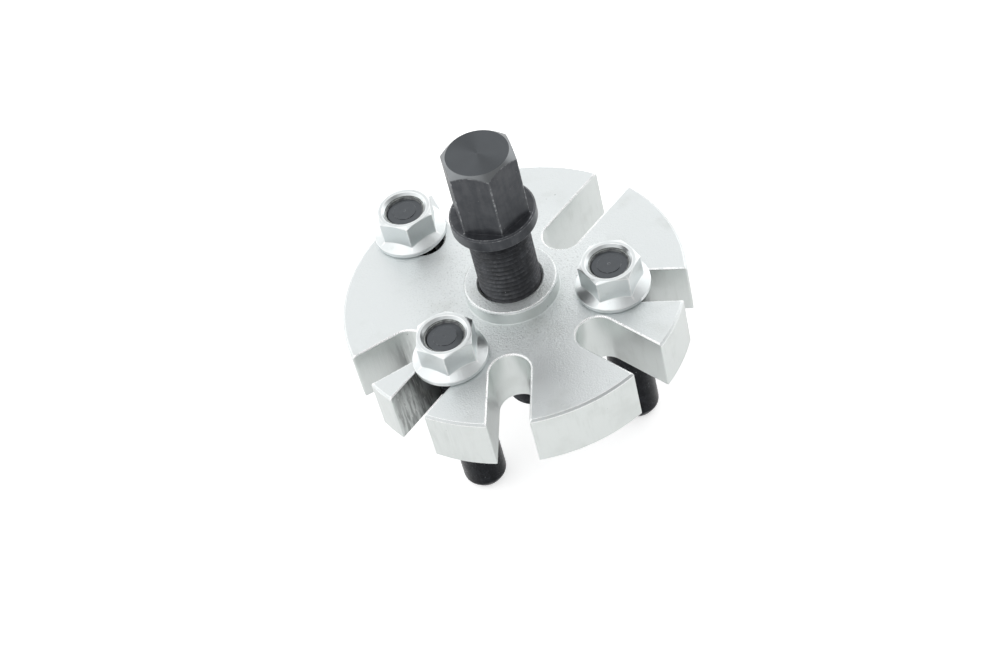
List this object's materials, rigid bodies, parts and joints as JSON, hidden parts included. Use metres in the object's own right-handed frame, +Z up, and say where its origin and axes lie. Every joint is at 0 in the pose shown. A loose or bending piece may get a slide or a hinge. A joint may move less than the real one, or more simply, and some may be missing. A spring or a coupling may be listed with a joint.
{
  "type": "pulley puller",
  "caption": "Slotted round plate with a central forcing screw and legs clamped in its slots by flange nuts, for drawing a pulley or gear off its shaft.",
  "frame": {"origin": "on the forcing screw's axis, in the plane of the feet that the puller stands on", "axes": "+Z up along the forcing screw towards its hexagon head, +X out along the slot that holds leg_2"},
  "size_m": [0.0897, 0.09, 0.0968],
  "materials": {
    "zinc_plate": "forged steel, bright zinc plated, slightly pitted and scratched",
    "zinc_nut": "steel, bright zinc plated",
    "black_screw": "hardened steel, black oxide, worn at its edges",
    "black_leg": "steel, black oxide"
  },
  "bodies": {
    "puller_plate": {"puller_plate": "zinc_plate"},
    "centre_tip": {"centre_tip": "black_screw"},
    "forcing_screw": {"forcing_screw": "black_screw"},
    "leg_1": {"leg_1": "black_leg"},
    "leg_2": {"leg_2": "black_leg"},
    "leg_3": {"leg_3": "black_leg"},
    "flange_nut_1": {"flange_nut_1": "zinc_nut"},
    "flange_nut_2": {"flange_nut_2": "zinc_nut"},
    "flange_nut_3": {"flange_nut_3": "zinc_nut"}
  },
  "joints": [
    {"name": "screw_travel", "type": "slide", "parent": "puller_plate", "child": "centre_tip", "axis": [0, 0, -1], "range_m": [-0.018, 0.0205]},
    {"name": "screw_turn", "type": "hinge", "parent": "centre_tip", "child": "forcing_screw", "pos_m": [0, 0, 0.07335], "axis": [0, 0, -1], "range_deg": [-4320, 4920]},
    {"name": "leg_1_slide", "type": "slide", "parent": "puller_plate", "child": "leg_1", "axis": [-0.8192, 0.5736, 0], "range_m": [-0.0051, 0.0022]},
    {"name": "leg_2_slide", "type": "slide", "parent": "puller_plate", "child": "leg_2", "axis": [1, 0, 0], "range_m": [0, 0.0132]},
    {"name": "leg_3_slide", "type": "slide", "parent": "puller_plate", "child": "leg_3", "axis": [-0.4924, -0.8704, 0], "range_m": [0, 0.0132]},
    {"name": "nut_1_turn", "type": "hinge", "parent": "leg_1", "child": "flange_nut_1", "pos_m": [-0.03055, 0.02139, 0.0484], "axis": [0, 0, 1], "range_deg": [0, 720]},
    {"name": "nut_2_turn", "type": "hinge", "parent": "leg_2", "child": "flange_nut_2", "pos_m": [0.0263, 0, 0.0484], "axis": [0, 0, 1], "range_deg": [0, 720]},
    {"name": "nut_3_turn", "type": "hinge", "parent": "leg_3", "child": "flange_nut_3", "pos_m": [-0.01295, -0.02289, 0.0484], "axis": [0, 0, 1], "range_deg": [0, 720]}
  ],
  "couplings": [
    {"joint": "screw_turn", "follows": "screw_travel", "rad_per_m": 4188.8}
  ]
}
